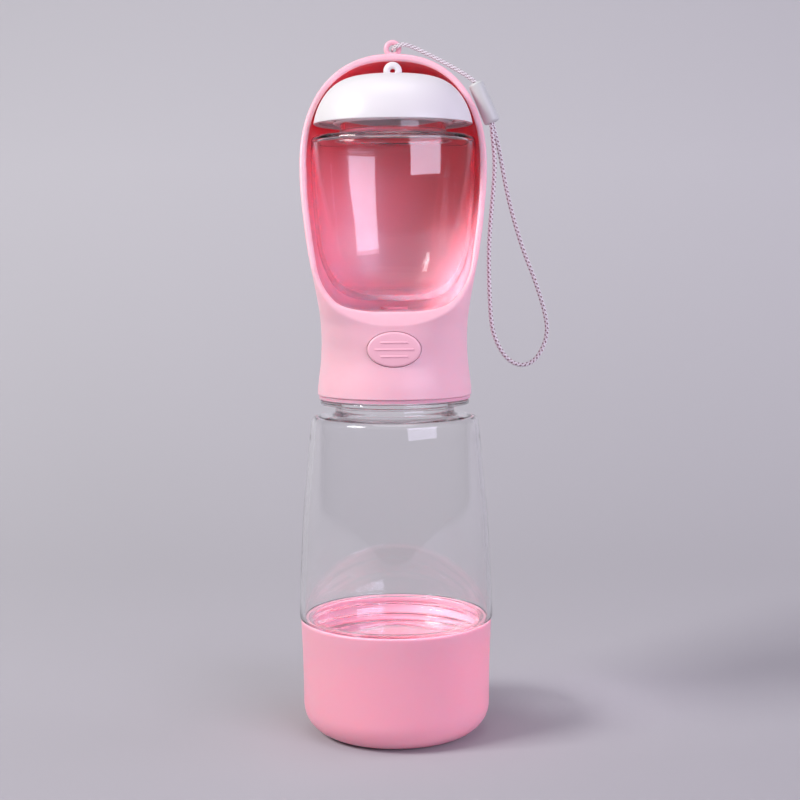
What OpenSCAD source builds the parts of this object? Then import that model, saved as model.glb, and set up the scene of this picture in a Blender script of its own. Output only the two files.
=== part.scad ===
// Dog travel water bottle: a clear bottle on a snack cup, and a head with a drinking
// scoop, a push-button water valve and a clear food cup that sits in the scoop.
// Millimetres, +Z up, origin at the centre of the foot. The scoop opens towards -Y.

/* [Snack cup] */
// Outer diameter of the snack cup at its rim, the widest round part
cup_d = 75; // [74.6:0.1:76]
// Height of the snack cup's rim above the foot
cup_h = 44.7; // [44.2:0.1:44.8]
// Wall of the snack cup
cup_wall = 2.2; // [1.8:0.1:2.4]
// Radius of the round corner at the snack cup's foot
cup_corner_r = 11.5; // [9:0.5:13]

/* [Bottle] */
// Outer diameter of the clear bottle where it meets the snack cup
bottle_d = 76.4; // [75.8:0.1:76.6]
// Wall of the clear bottle
bottle_wall = 1.8; // [1.4:0.1:2]
// Outer diameter of the bare neck under the flange
neck_d = 46.6; // [45:0.2:47.4]
// Outer diameter of the clear flange under the head
flange_d = 58; // [56:0.5:58.8]

/* [Head] */
// Height of the head's lower edge above the foot
head_z = 133.5; // [133.4:0.1:133.8]
// Height of the outer edge of the drinking lip
lip_z = 161.7; // [161:0.1:162.4]
// Height of the scoop's rounded top
scoop_top_z = 265.4; // [263:0.2:267]
// How far the rim of the scoop leans back for each millimetre of height
rim_lean = 0.33; // [0.26:0.01:0.36]
// Width of the rim along the sides of the scoop
rim_w = 2.6; // [2.4:0.1:3]
// Outer radius of the hanging ring on top of the head
ring_r = 3.45; // [3.3:0.05:3.8]

/* [Button] */
// Width of the oval button
button_w = 20; // [18:0.5:21]
// Height of the oval button
button_h = 13.1; // [12:0.1:13.6]
// Height of the button's centre above the foot
button_z = 152.5; // [152.3:0.1:152.7]

/* [Food cup] */
// Thickness of the clear food cup's wall
food_wall = 1.8; // [1.4:0.1:2.2]
// Outer radius of the food cup's neck
food_neck_r = 20.5; // [19.5:0.1:20.6]
// Height of the food cup's lid from its lower edge to its top
lid_h = 19.3; // [18:0.1:19.8]

/* [Strap] */
// Diameter of the braided cord of the wrist loop
loop_d = 1.8; // [1.4:0.1:2]
// Diameter of the doubled tie between the ring and the sleeve
tie_d = 2; // [1.6:0.1:2.2]
// Diameter of the plastic sleeve that gathers the loop
sleeve_d = 5.2; // [4.6:0.1:5.4]

/* [Hidden] */
$fn = 96;

// Play between parts that move past each other, and the finer running fit of the rod.
play = 0.3;
running_fit = 0.06;

// Snack cup: radius of the wall by height, floor, and the rebate that the seal sits in.
cup_r = cup_d / 2;
cup_low_r = cup_r - 0.75;
CUP_SIDE = [[cup_r - 0.55, 28], [cup_r - 0.4, 34], [cup_r - 0.05, 42]];
cup_floor = 3;
cup_thread_r = cup_r - 1.7;
rebate_r = cup_r - 0.9;
rebate_z = cup_h - 1.6;

// Bottle: the skirt that screws into the snack cup, then the body, shoulder and neck.
skirt_r = 34.6;
skirt_z = 34;
step_z = cup_h + 0.5;
ledge_z = step_z + 1.5;
shoulder_z = 125;
shoulder_edge_r = 2;
neck_r = neck_d / 2;
flange_z = 130;
flange_t = 1.6;
finish_r = 24.2;
finish_z = 142;
mouth_r = 21;
bottle_r = bottle_d / 2;
BOTTLE_OUTER = [
    [step_z, bottle_r], [52, bottle_r - 0.2], [60, bottle_r - 0.5], [68, bottle_r - 0.9],
    [76, bottle_r - 1.35], [84, bottle_r - 1.8], [92, bottle_r - 2.4], [103, bottle_r - 3.45],
    [111, bottle_r - 4.2], [118, bottle_r - 5], [123, bottle_r - 5.4]
];

// Head: half width, depth behind the axis and squareness of the front, by height.
arch_z = 222;
arch_half = 35.75;
arch_power = 2.25;
HEAD_HALF = [
    [head_z, 30], [138, 29.75], [143, 29.1], [148, 28.55], [153, 28.3], [158, 28.25],
    [162, 28.4], [167, 28.8], [172, 29.5], [178, 30.5], [184, 31.5], [191, 32.6],
    [198, 33.65], [206, 34.6], [214, 35.4], [arch_z, arch_half]
];
HEAD_BACK = [
    [head_z, 30], [143, 29.2], [153, 28.5], [162, 28.8], [172, 30], [184, 31.6],
    [198, 32.8], [arch_z, 33]
];
HEAD_FRONT_POWER = [
    [head_z, 2], [146, 2], [152, 2.2], [157, 2.6], [162, 3], [167, 4], [172, 4.6],
    [178, 5.4], [184, 6.6], [191, 8], [300, 8]
];
HEAD_CENTRE_Y = [[head_z, 0], [198, 0], [arch_z, 1], [240, 3.5], [255, 7], [270, 9.5]];
head_back_power = 2.2;
lip_y = -28.3;

// Trough inside the scoop: half width and depth behind the axis, by height.
trough_z = lip_z + 4.7;
trough_top_z = scoop_top_z - rim_w - 0.4;
trough_arch_power = 2.35;
trough_wall = 2.4;
TROUGH_HALF = [
    [trough_z, 8], [trough_z + 0.4, 12], [trough_z + 1.4, 17], [trough_z + 3, 20.8],
    [172, 23.6], [176, 26.4], [181, 28.4], [190, 30], [200, 31.5], [210, 32.6],
    [arch_z, arch_half - rim_w]
];
TROUGH_BACK = [
    [trough_z, 14], [trough_z + 0.4, 17], [trough_z + 1.4, 20], [trough_z + 3, 22.3],
    [172, 24.4], [176, 26.4], [181, 28], [190, 29.6], [200, 30.4],
    [arch_z, 33 - trough_wall]
];
chamber_r = 26.6;
chamber_z = 158;
upper_chamber_r = 22;
upper_chamber_z = trough_z - 2.8;
ring_y = 9.4;
ring_tube_r = 1;
ring_z = scoop_top_z + 2.2;

// Water valve: it lies along Y behind the button, so every place here is a Y value.
valve_z = button_z;
plate_z = 143.7;
plate_t = 1.9;
barrel_r = 6.6;
barrel_y = [-10.5, 18];
bore_r = 4.6;
rod_r = 2;
gland_y = -8.5;
inlet_y = -2.2;
seat_y = [0.5, 2.5];
outlet_y = 8;
port_r = 2.6;
tower_z = upper_chamber_z - 1.1;
button_face_y = -29.4;
button_flange_y = -23.2;
button_flange_w = button_w + 2.4;
button_flange_h = 2 * (chamber_z - play - valve_z);
button_hub_y = [-21.8, -15.5];
seal_y = seat_y[1] + play;
seal_t = 2.2;
rod_head_t = 1.2;
spring_y = [seal_y + seal_t + rod_head_t, 15];
cap_flange_t = 1.5;

// Food cup: half width, depth in front of the axis and behind it, by height.
food_z = 170;
food_top_z = 232;
FOOD_HALF = [
    [food_z, 9], [170.5, 14], [172, 18.6], [175, 22.8], [180, 26], [188, 28.9],
    [198, 30.2], [210, 31.2], [220, 31.7], [228.5, 31.8]
];
FOOD_FRONT = [
    [food_z, 9], [170.5, 13], [172, 16.6], [175, 20.2], [180, 23.2], [188, 25.6],
    [198, 27], [210, 27.6], [220, 27.8], [228.5, 27.8]
];
FOOD_BACK = [
    [food_z, 9], [170.5, 13], [172, 17], [175, 20.8], [180, 24], [188, 26.8],
    [198, 28.2], [210, 28.7], [220, 28.8], [228.5, 28.8]
];
food_corner_r = food_top_z - 228.5;
food_half = 31.8;
food_neck_z = 244;
food_mouth_r = food_neck_r - 1.7;

// Food cup's lid: a dome with an eye, and inside it a collar that grips the neck and
// a ledge that presses the seal on the neck's end.
lid_z = 237.6;
lid_top_z = lid_z + lid_h;
lid_half = 30.6;
lid_front = 27;
lid_back = 27;
lid_round = [1.4, 4.15];
lid_wall = 2;
lid_grip_r = food_neck_r + 0.4;
lid_grip_t = 1.6;
lid_ledge_r = 17.5;
lid_ledge_z = food_neck_z + 1.4;
lid_ledge_t = 1.5;
eye_r = 3.35;
eye_hole_r = 1.25;
eye_y = -2;
eye_t = 2.4;
eye_z = lid_top_z + 1.6;

// Routes of the strap's cords.
TIE_ROUTE = [
    [0, 12.4, 267.7], [0, 9.6, 267.7], [1.2, 7, 268.1], [4.4, 6.4, 268.8],
    [9, 7, 267.4], [20.6, 7, 261.6], [30.6, 6.2, 255.4], [33.4, 6, 251]
];
SLEEVE_ENDS = [[32.4, 6, 253.2], [38.4, 6, 239.4]];
LOOP_ROUTE = [
    [37.9, 5, 240.4], [38.4, 5, 236], [39.4, 4.8, 224], [39, 4.6, 214], [37.8, 4.6, 200],
    [37.2, 4.8, 188], [37.4, 5, 174], [38.4, 5.2, 160], [41, 5.6, 152], [45, 6, 146.4],
    [50, 6.2, 144.2], [54.8, 6.4, 145.8], [58.6, 6.6, 151.2], [60.2, 6.8, 158],
    [59, 7, 166], [55.6, 7.2, 177], [50, 7.2, 192], [45, 7, 209.6], [41.2, 7, 229],
    [39.4, 7, 236], [38.4, 7, 240.4]
];

// Value at height z of a table of [height, value] stations, joined by smooth curves.
function station(z, t, i = 0) = i >= len(t) - 2 || z <= t[i + 1][0] ? i : station(z, t, i + 1);
function slope(t, i) =
    let (a = t[max(i - 1, 0)], b = t[min(i + 1, len(t) - 1)]) (b[1] - a[1]) / (b[0] - a[0]);
function along(z, t) =
    let (
        i = station(z, t),
        p = t[i],
        q = t[i + 1],
        h = q[0] - p[0],
        u = min(max((z - p[0]) / h, 0), 1)
    )
    p[1] * (2 * u ^ 3 - 3 * u ^ 2 + 1) + q[1] * (3 * u ^ 2 - 2 * u ^ 3)
    + slope(t, i) * h * (u ^ 3 - 2 * u ^ 2 + u) + slope(t, i + 1) * h * (u ^ 3 - u ^ 2);

// Points of an arc in the plane, from angle a0 to a1.
function arc(centre, r, a0, a1, n = 8) =
    [for (i = [0 : n]) let (a = a0 + (a1 - a0) * i / n) centre + r * [cos(a), sin(a)]];

// Share of the full width that is left at height z of an arch from z0 up to z1.
function arch(z, z0, z1, power) = z <= z0 ? 1 : (1 - min((z - z0) / (z1 - z0), 1) ^ power) ^ (1 / power);

// Heights of the rings of a dome, closer together towards its top.
function dome_heights(z0, z1, n) = [for (i = [1 : n]) z0 + (z1 - z0) * sin(90 * i / (n + 0.35))];

// Closed oval ring at height z. The front half and the back half have their own depth
// and their own squareness: 2 is an ellipse, and 8 is nearly a rectangle.
function oval(z, half, front, back, front_power, back_power, centre_y, n) = [
    for (i = [0 : n - 1])
        let (
            c = cos(360 * i / n),
            s = sin(360 * i / n),
            p = s < 0 ? front_power : back_power,
            x = half * sign(c) * abs(c) ^ (2 / p),
            y = (s < 0 ? -front : back) * abs(s) ^ (2 / p)
        )
        [x, centre_y + y, z]
];

// Closed skin over a stack of rings that all have the same number of points.
module loft(rings) {
    n = len(rings[0]);
    top = (len(rings) - 1) * n;
    points = [for (ring = rings) each ring];
    sides = [
        for (k = [0 : len(rings) - 2], i = [0 : n - 1])
            let (j = (i + 1) % n, a = k * n + i, b = k * n + j)
            each [[a, a + n, b + n], [a, b + n, b]]
    ];
    caps = [[for (i = [0 : n - 1]) i], [for (i = [n - 1 : -1 : 0]) top + i]];
    polyhedron(points = points, faces = concat(sides, caps), convexity = 6);
}

// Smooth path through the points of a route, with a few steps in each stretch.
function route_point(r, k, u) =
    let (a = r[max(k - 1, 0)], b = r[k], c = r[k + 1], d = r[min(k + 2, len(r) - 1)])
    0.5 * (2 * b + (c - a) * u + (2 * a - 5 * b + 4 * c - d) * u ^ 2
    + (3 * b - a - 3 * c + d) * u ^ 3);
function smooth_path(r, steps) = concat(
    [for (k = [0 : len(r) - 2], s = [0 : steps - 1]) route_point(r, k, s / steps)],
    [r[len(r) - 1]]
);

// Directions along a path, and side vectors that turn with it without twisting.
function unit(v) = v / norm(v);
function directions(p) =
    [for (i = [0 : len(p) - 1]) unit(p[min(i + 1, len(p) - 1)] - p[max(i - 1, 0)])];
function carried(v, t) = unit(v - (v * t) * t);
function side_vectors(t, i = 0, v = [0.3, 0.2, 0.9]) =
    i >= len(t) ? [] : let (w = carried(v, t[i])) concat([w], side_vectors(t, i + 1, w));

// Round tube of diameter d along a path.
module tube(path, d, sides) {
    t = directions(path);
    v = side_vectors(t);
    rings = [
        for (i = [0 : len(path) - 1])
            let (w = cross(t[i], v[i]))
            [
                for (k = [0 : sides - 1])
                    path[i] + d / 2 * (cos(-360 * k / sides) * v[i] + sin(-360 * k / sides) * w)
            ]
    ];
    loft_reversed(rings);
}

// Same skin as loft, for rings whose points run the other way round.
module loft_reversed(rings) {
    loft([for (ring = rings) [for (i = [len(ring) - 1 : -1 : 0]) ring[i]]]);
}

// Upright ring of rectangular section.
module ring(inner_r, outer_r, z0, z1, sides = $fn) {
    translate([0, 0, z0]) difference() {
        cylinder(h = z1 - z0, r = outer_r, $fn = sides);
        translate([0, 0, -1]) cylinder(h = z1 - z0 + 2, r = inner_r, $fn = sides);
    }
}

// Round bar along Y, on the valve's axis.
module bar_y(y0, y1, r, z = valve_z) {
    translate([0, y0, z]) rotate([-90, 0, 0]) cylinder(h = y1 - y0, r = r);
}

// Flat oval of width w and height h, from y0 to y1. It tapers towards y1.
module oval_y(y0, y1, w, h, taper = 1) {
    translate([0, y0, valve_z]) rotate([y1 > y0 ? -90 : 90, 0, 0])
        linear_extrude(abs(y1 - y0), scale = taper)
            polygon([for (a = [0 : 9 : 351]) [w / 2 * cos(a), h / 2 * sin(a)]]);
}

module base_cup() {
    inner_corner_r = cup_corner_r - cup_wall;
    color("pink") rotate_extrude()
        polygon(concat(
            [[0, 0.8], [21, 0.8], [22.5, 0]],
            arc([cup_low_r - cup_corner_r, cup_corner_r], cup_corner_r, -90, 0, 12),
            CUP_SIDE,
            [[cup_r, cup_h - 0.5], [cup_r - 0.4, cup_h], [rebate_r, cup_h], [rebate_r, rebate_z]],
            [[cup_thread_r, rebate_z], [cup_thread_r, skirt_z - 2.5]],
            arc([cup_low_r - cup_wall - inner_corner_r, cup_floor + inner_corner_r],
                inner_corner_r, 0, -90, 12),
            [[0, cup_floor]]
        ));
}

module base_seal() {
    color("whitesmoke") ring(skirt_r + 0.1, rebate_r - play, rebate_z + play, step_z - play);
}

module bottle() {
    side = [for (z = [step_z : 7 : 122.4]) [along(z, BOTTLE_OUTER), z]];
    shoulder_r = BOTTLE_OUTER[len(BOTTLE_OUTER) - 1][1];
    inner_r = skirt_r - bottle_wall;
    inside = [for (i = [len(side) - 1 : -1 : 1]) side[i] - [bottle_wall, 0]];
    color("lightcyan", 0.4) rotate_extrude()
        polygon(concat(
            [[0, 38.9], [8, 38.6], [16, 37.2], [23, 35.2], [27, skirt_z], [skirt_r - 1.2, skirt_z]],
            [[skirt_r, skirt_z + 1.2], [skirt_r, step_z]],
            side,
            arc([shoulder_r - shoulder_edge_r, shoulder_z - shoulder_edge_r], shoulder_edge_r, 0, 80, 6),
            [[neck_r + 4, shoulder_z + 0.8]],
            arc([neck_r + 1.6, shoulder_z + 2.4], 1.6, 260, 180, 6),
            [[neck_r, flange_z], [flange_d / 2 - 0.4, flange_z], [flange_d / 2, flange_z + 0.4]],
            [[flange_d / 2, flange_z + flange_t - 0.4], [flange_d / 2 - 0.4, flange_z + flange_t]],
            [[finish_r, flange_z + flange_t], [finish_r, finish_z - 0.4]],
            [[finish_r - 0.4, finish_z], [mouth_r + 0.4, finish_z], [mouth_r, finish_z - 0.4]],
            [[mouth_r, shoulder_z + 2.4]],
            arc([mouth_r + 4, shoulder_z + 2.4], 4, 180, 260, 6),
            [[shoulder_r - bottle_wall - 2, shoulder_z - bottle_wall]],
            inside,
            [[bottle_r - bottle_wall - 0.1, ledge_z + 0.8], [bottle_r - bottle_wall - 0.9, ledge_z]],
            [[inner_r + 0.6, ledge_z], [inner_r, ledge_z - 0.6], [inner_r, skirt_z + 3.4]],
            [[28, skirt_z + 1.9], [24, 37], [16, 39], [8, 40.4], [0, 40.7]]
        ));
}

module neck_seal() {
    color("whitesmoke") ring(mouth_r, finish_r, finish_z + play, plate_z - play);
}

module neck_collar() {
    color("pink") {
        ring(finish_r + 1, chamber_r - 0.1, head_z - 0.1, plate_z - 0.2);
        ring(finish_r + 1, 29.5, flange_z + flange_t + 0.6, head_z - 0.1);
    }
}

// Outer form of the head: a round waist that opens into a square-fronted scoop.
module head_form() {
    heights = concat(
        [head_z], [for (z = [138, 143, 148, 153, 157, 160, 162, 164]) z],
        [for (z = [166.5 : 2.5 : 184]) z], [for (z = [188 : 6 : arch_z - 3]) z],
        dome_heights(arch_z - 6, scoop_top_z, 15)
    );
    loft([
        for (z = heights)
            let (
                share = arch(z, arch_z, scoop_top_z, arch_power),
                half = along(min(z, arch_z), HEAD_HALF) * share
            )
            oval(z, half, max(half, 20), along(min(z, arch_z), HEAD_BACK) * share,
                along(z, HEAD_FRONT_POWER), head_back_power, along(z, HEAD_CENTRE_Y), 48)
    ]);
}

// Space inside the scoop, open at the front.
module trough_form() {
    heights = concat(
        [for (t = TROUGH_HALF) if (t[0] < 185) t[0]], [for (z = [187 : 7 : arch_z - 3]) z],
        dome_heights(arch_z - 5, trough_top_z, 12)
    );
    loft([
        for (z = heights)
            let (share = arch(z, arch_z, trough_top_z, trough_arch_power))
            oval(z, along(min(z, arch_z), TROUGH_HALF) * share, 60,
                along(min(z, arch_z), TROUGH_BACK) * share, 12, head_back_power,
                along(z, HEAD_CENTRE_Y), 40)
    ]);
}

module head_shell() {
    tilt = atan(rim_lean);
    color("pink") resize([0, 0, 0]) union() {
        difference() {
            head_form();
            translate([0, lip_y, lip_z]) rotate([-tilt, 0, 0]) translate([-60, -60, -2])
                cube([120, 60, 140]);
            trough_form();
            translate([0, 0, head_z - 1])
                cylinder(h = chamber_z - head_z + 1, r = chamber_r, $fn = 72);
            translate([0, 0, head_z])
                cylinder(h = upper_chamber_z - head_z, r = upper_chamber_r, $fn = 72);
            translate([0, outlet_y, upper_chamber_z - 1]) cylinder(h = 6, r = 4, $fn = 32);
            oval_y(-40, -15, button_w + 2 * play, button_h + 2 * play);
        }
        translate([0, ring_y, ring_z]) rotate([90, 0, 0]) rotate_extrude($fn = 28)
            translate([ring_r - ring_tube_r, 0]) circle(ring_tube_r, $fn = 12);
    }
}

// Plate that closes the neck, with the valve's barrel, its saddle and the outlet tower.
module valve_housing() {
    color("white") difference() {
        union() {
            translate([0, 0, plate_z]) cylinder(h = plate_t, r = chamber_r - 0.2);
            bar_y(barrel_y[0], barrel_y[1], barrel_r);
            translate([-4, barrel_y[0], plate_z + plate_t - 0.5])
                cube([8, barrel_y[1] - barrel_y[0], valve_z - plate_z - plate_t]);
            translate([0, outlet_y, valve_z]) cylinder(h = tower_z - valve_z, r = 4.6);
        }
        bar_y(barrel_y[0] - 1, gland_y, rod_r + 1.3);
        bar_y(barrel_y[0] - 1, seat_y[0], rod_r + running_fit);
        bar_y(-5, seat_y[0], bore_r);
        bar_y(-5, seat_y[1] + 1, 3);
        bar_y(seat_y[1], barrel_y[1] + 1, bore_r);
        translate([0, inlet_y, plate_z - 1]) cylinder(h = valve_z - plate_z + 1, r = port_r);
        translate([0, outlet_y, valve_z]) cylinder(h = tower_z - valve_z + 1, r = port_r);
    }
}

module outlet_grommet() {
    color("whitesmoke") translate([0, outlet_y, 0]) difference() {
        union() {
            translate([0, 0, tower_z]) cylinder(h = 1.1, r = 5.4);
            translate([0, 0, tower_z]) cylinder(h = trough_z + 0.9 - tower_z, r = 3.9);
            translate([0, 0, trough_z + 0.05]) cylinder(h = 0.95, r = 5.4);
        }
        translate([0, 0, tower_z - 1]) cylinder(h = trough_z + 3 - tower_z, r = 2.4);
    }
}

module button() {
    rib_rows = [[-2.6, 10.4], [0, 14.7], [2.6, 10.4]];
    color("pink") difference() {
        union() {
            oval_y(button_face_y + 0.8, button_flange_y + 0.5, button_w, button_h);
            oval_y(button_face_y + 0.8, button_face_y, button_w, button_h, 0.92);
            oval_y(button_flange_y, button_flange_y + 1.4, button_flange_w, button_flange_h);
            bar_y(button_flange_y, button_hub_y[1], 3.6);
            for (row = rib_rows)
                hull() for (side = [-1, 1])
                    translate([side * (row[1] / 2 - 0.5), button_face_y + 0.3, valve_z + row[0]])
                        sphere(r = 0.55, $fn = 16);
        }
        bar_y(-20.5, button_hub_y[1] + 1, rod_r + 0.02);
    }
}

module valve_rod() {
    color("gainsboro") {
        bar_y(-20.4, seat_y[1] + 0.1, rod_r);
        bar_y(seat_y[1], seal_y + seal_t + 0.1, 1.2);
        bar_y(seal_y + seal_t, spring_y[0], 2.6);
    }
}

module rod_oring() {
    color("black") translate([0, barrel_y[0] + 1.1, valve_z]) rotate([90, 0, 0]) rotate_extrude()
        translate([rod_r + 0.68, 0]) circle(r = 0.6, $fn = 24);
}

module valve_seal() {
    color("whitesmoke") difference() {
        bar_y(seal_y, seal_y + seal_t, 4.1);
        bar_y(seal_y - 1, seal_y + seal_t + 1, 1.22);
    }
}

module valve_spring() {
    turns = 5;
    wire = 0.6;
    length = spring_y[1] - spring_y[0] - wire - 0.1;
    path = [
        for (i = [0 : turns * 14])
            let (a = 360 * i / 14)
            [3.3 * cos(a), spring_y[0] + wire / 2 + 0.05 + length * i / (turns * 14),
                valve_z + 3.3 * sin(a)]
    ];
    color("silver") tube(path, wire, 8);
}

module valve_cap() {
    color("white") {
        bar_y(spring_y[1], barrel_y[1] + 0.5, bore_r - 0.05);
        bar_y(barrel_y[1] + 0.02, barrel_y[1] + cap_flange_t, barrel_r);
    }
}

// Solid of the food cup without its neck. The inset makes the space inside it.
module food_form(inset) {
    heights = [for (t = FOOD_HALF) t[0]];
    floor_z = food_z + inset * 1.3;
    top_z = food_top_z - inset;
    function squeeze(z) = floor_z + (z - food_z) * (top_z - floor_z) / (food_top_z - food_z);
    walls = [
        for (z = heights)
            oval(squeeze(z), along(z, FOOD_HALF) - inset, along(z, FOOD_FRONT) - inset,
                along(z, FOOD_BACK) - inset, 2.1, 2.2, 0, 40)
    ];
    corner = [
        for (a = [22.5 : 22.5 : 90])
            let (d = food_corner_r * (1 - cos(a)) + inset)
            oval(squeeze(food_top_z + food_corner_r * (sin(a) - 1)), food_half - d,
                food_half - 4 - d, food_half - 3 - d, 2.1, 2.2, 0, 40)
    ];
    loft(concat(walls, corner));
}

module food_cup() {
    color("lavenderblush", 0.4) resize([0, 0, 0]) difference() {
        union() {
            food_form(0);
            translate([0, 0, food_top_z - 1])
                cylinder(h = food_neck_z - food_top_z + 1, r = food_neck_r, $fn = 64);
        }
        food_form(food_wall);
        translate([0, 0, food_top_z - 6])
            cylinder(h = food_neck_z - food_top_z + 8, r = food_mouth_r, $fn = 64);
    }
}

// Dome of the lid. The inset makes the space inside it.
module lid_form(inset) {
    top_z = lid_top_z - inset;
    heights = concat([lid_z - inset, lid_z + 1], dome_heights(lid_z + 1, top_z, 9));
    loft([
        for (z = heights)
            let (
                rise = max(z - lid_z, 0) / (top_z - lid_z),
                share = (1 - rise ^ lid_round[0]) ^ (1 / lid_round[1])
            )
            oval(z, (lid_half - inset) * share, (lid_front - inset) * share,
                (lid_back - inset) * share, 2.1, 2.2, 0, 40)
    ]);
}

module food_cup_lid() {
    color("white") resize([0, 0, 0]) difference() {
        union() {
            difference() {
                lid_form(0);
                lid_form(lid_wall);
            }
            intersection() {
                lid_form(lid_wall / 2);
                union() {
                    ring(lid_grip_r, lid_grip_r + lid_grip_t, lid_z + 0.6, lid_top_z, 64);
                    ring(lid_ledge_r, lid_grip_r + 0.1, lid_ledge_z, lid_ledge_z + lid_ledge_t, 64);
                }
            }
            translate([0, eye_y + eye_t / 2, eye_z]) rotate([90, 0, 0])
                cylinder(h = eye_t, r = eye_r, $fn = 36);
        }
        translate([0, 0, eye_z]) rotate([90, 0, 0])
            cylinder(h = 20, r = eye_hole_r, center = true, $fn = 20);
    }
}

module lid_seal() {
    color("whitesmoke") ring(food_mouth_r, food_neck_r, food_neck_z + 0.1, lid_ledge_z - 0.1);
}

module strap_tie() {
    color("lightgrey") tube(smooth_path(TIE_ROUTE, 2), tie_d, 8);
}

module strap_sleeve() {
    axis = SLEEVE_ENDS[1] - SLEEVE_ENDS[0];
    color("lightgrey") translate(SLEEVE_ENDS[0]) rotate([0, atan2(axis[0], axis[2]), 0])
        difference() {
            cylinder(h = norm(axis), r1 = sleeve_d / 2 - 0.2, r2 = sleeve_d / 2 + 0.1);
            translate([0, 0, -1]) cylinder(h = norm(axis) + 2, r = 2.05);
        }
}

module strap_loop() {
    color("lightgrey") tube(smooth_path(LOOP_ROUTE, 2), loop_d, 8);
}

base_cup();
base_seal();
bottle();
neck_seal();
neck_collar();
head_shell();
valve_housing();
outlet_grommet();
button();
valve_rod();
rod_oring();
valve_seal();
valve_spring();
valve_cap();
food_cup();
food_cup_lid();
lid_seal();
strap_tie();
strap_sleeve();
strap_loop();
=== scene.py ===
import math

import bmesh
import bpy
from mathutils import Matrix, Vector


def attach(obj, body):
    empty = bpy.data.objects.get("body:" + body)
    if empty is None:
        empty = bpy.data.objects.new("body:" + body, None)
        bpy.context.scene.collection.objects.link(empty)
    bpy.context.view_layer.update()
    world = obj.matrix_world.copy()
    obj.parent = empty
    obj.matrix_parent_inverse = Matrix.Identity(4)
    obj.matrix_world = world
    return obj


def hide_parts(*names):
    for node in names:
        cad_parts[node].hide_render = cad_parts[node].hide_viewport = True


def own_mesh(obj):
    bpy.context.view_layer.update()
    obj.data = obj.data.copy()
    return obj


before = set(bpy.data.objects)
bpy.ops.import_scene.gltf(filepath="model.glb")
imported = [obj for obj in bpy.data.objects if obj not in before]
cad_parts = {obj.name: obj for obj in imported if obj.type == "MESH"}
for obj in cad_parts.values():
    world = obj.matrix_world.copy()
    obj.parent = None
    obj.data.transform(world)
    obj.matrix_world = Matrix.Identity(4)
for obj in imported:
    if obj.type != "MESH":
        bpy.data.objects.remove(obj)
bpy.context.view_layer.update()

# Camera: a portrait lens a little over half a metre in front of the bottle, near the
# height of the scoop's lip, tipped down by five degrees and rolled by a third of a degree.
MM = 0.001
LENS_MM = 65.97
CAMERA_PLACE = (2.06, -571.6, 182.6)
CAMERA_TIP = 5.145
CAMERA_ROLL = -0.348
camera_data = bpy.data.cameras.new("camera")
camera_data.sensor_width = 36
camera_data.lens = LENS_MM
camera = bpy.data.objects.new("camera", camera_data)
bpy.context.scene.collection.objects.link(camera)
camera.matrix_world = (
    Matrix.Translation(Vector(CAMERA_PLACE) * MM)
    @ Matrix.Rotation(math.radians(90 - CAMERA_TIP), 4, "X")
    @ Matrix.Rotation(math.radians(CAMERA_ROLL), 4, "Z")
)
bpy.context.scene.camera = camera
bpy.context.scene.view_settings.view_transform = "Standard"


# Wrist strap: a thin round braid of white and mauve nylon yarns. Its loop hangs from a
# moulded sleeve, and a doubled end ties the sleeve to the head's ring.
def linear_colour(text):
    """Linear colour of an sRGB hex value."""
    parts = [int(text[i:i + 2], 16) / 255 for i in (1, 3, 5)]
    return [c / 12.92 if c < 0.04045 else ((c + 0.055) / 1.055) ** 2.4 for c in parts] + [1]


def new_material(name):
    """Material with no nodes yet."""
    made = bpy.data.materials.new(name)
    made.use_nodes = True
    made.node_tree.nodes.clear()
    return made


def add_node(material, kind, inputs=(), **settings):
    """Adds a node; an input is a value or the socket that feeds it."""
    made = material.node_tree.nodes.new(kind)
    for name, value in settings.items():
        setattr(made, name, value)
    for name, value in dict(inputs).items():
        if isinstance(value, bpy.types.NodeSocket):
            material.node_tree.links.new(value, made.inputs[name])
        else:
            made.inputs[name].default_value = value
    return made


def finish_material(material, shader, socket="BSDF"):
    """Joins the shader to the material's surface."""
    add_node(material, "ShaderNodeOutputMaterial", {"Surface": shader.outputs[socket]})
    return material


def new_object(name, source, materials, body, replaces=()):
    """Object from a bmesh or a mesh, which rides on a CAD body and stands for CAD nodes."""
    if isinstance(source, bmesh.types.BMesh):
        mesh = bpy.data.meshes.new(name)
        source.to_mesh(mesh)
        source.free()
    else:
        mesh = source
    for material in materials:
        mesh.materials.append(material)
    made = bpy.data.objects.new(name, mesh)
    bpy.context.scene.collection.objects.link(made)
    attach(made, body)
    if replaces:
        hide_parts(*replaces)
    return made


TIE_ROUTE = [
    (0, 12.4, 267.7), (0, 9.6, 267.7), (1.2, 7, 268.1), (4.4, 6.4, 268.8),
    (9, 7, 267.4), (20.6, 7, 261.6), (30.6, 6.2, 255.4), (33.4, 6, 251),
]
LOOP_ROUTE = [
    (37.9, 5, 240.4), (38.4, 5, 236), (39.4, 4.8, 224), (39, 4.6, 214), (37.8, 4.6, 200),
    (37.2, 4.8, 188), (37.4, 5, 174), (38.4, 5.2, 160), (41, 5.6, 152), (45, 6, 146.4),
    (50, 6.2, 144.2), (54.8, 6.4, 145.8), (58.6, 6.6, 151.2), (60.2, 6.8, 158),
    (59, 7, 166), (55.6, 7.2, 177), (50, 7.2, 192), (45, 7, 209.6), (41.2, 7, 229),
    (39.4, 7, 236), (38.4, 7, 240.4),
]
LOOP_D = 1.8
TIE_D = 2.0
TIE_CORD_D = 1.1
LOOP_LEAD = 3.6
TIE_LEAD = 3.2
LOOP_YARN_R = 0.315
TIE_YARN_R = 0.2
BRAID_STEPS = 8
YARNS = 8
MAUVE_YARNS = (0, 4)
POINTS_A_TURN = 20


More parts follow.
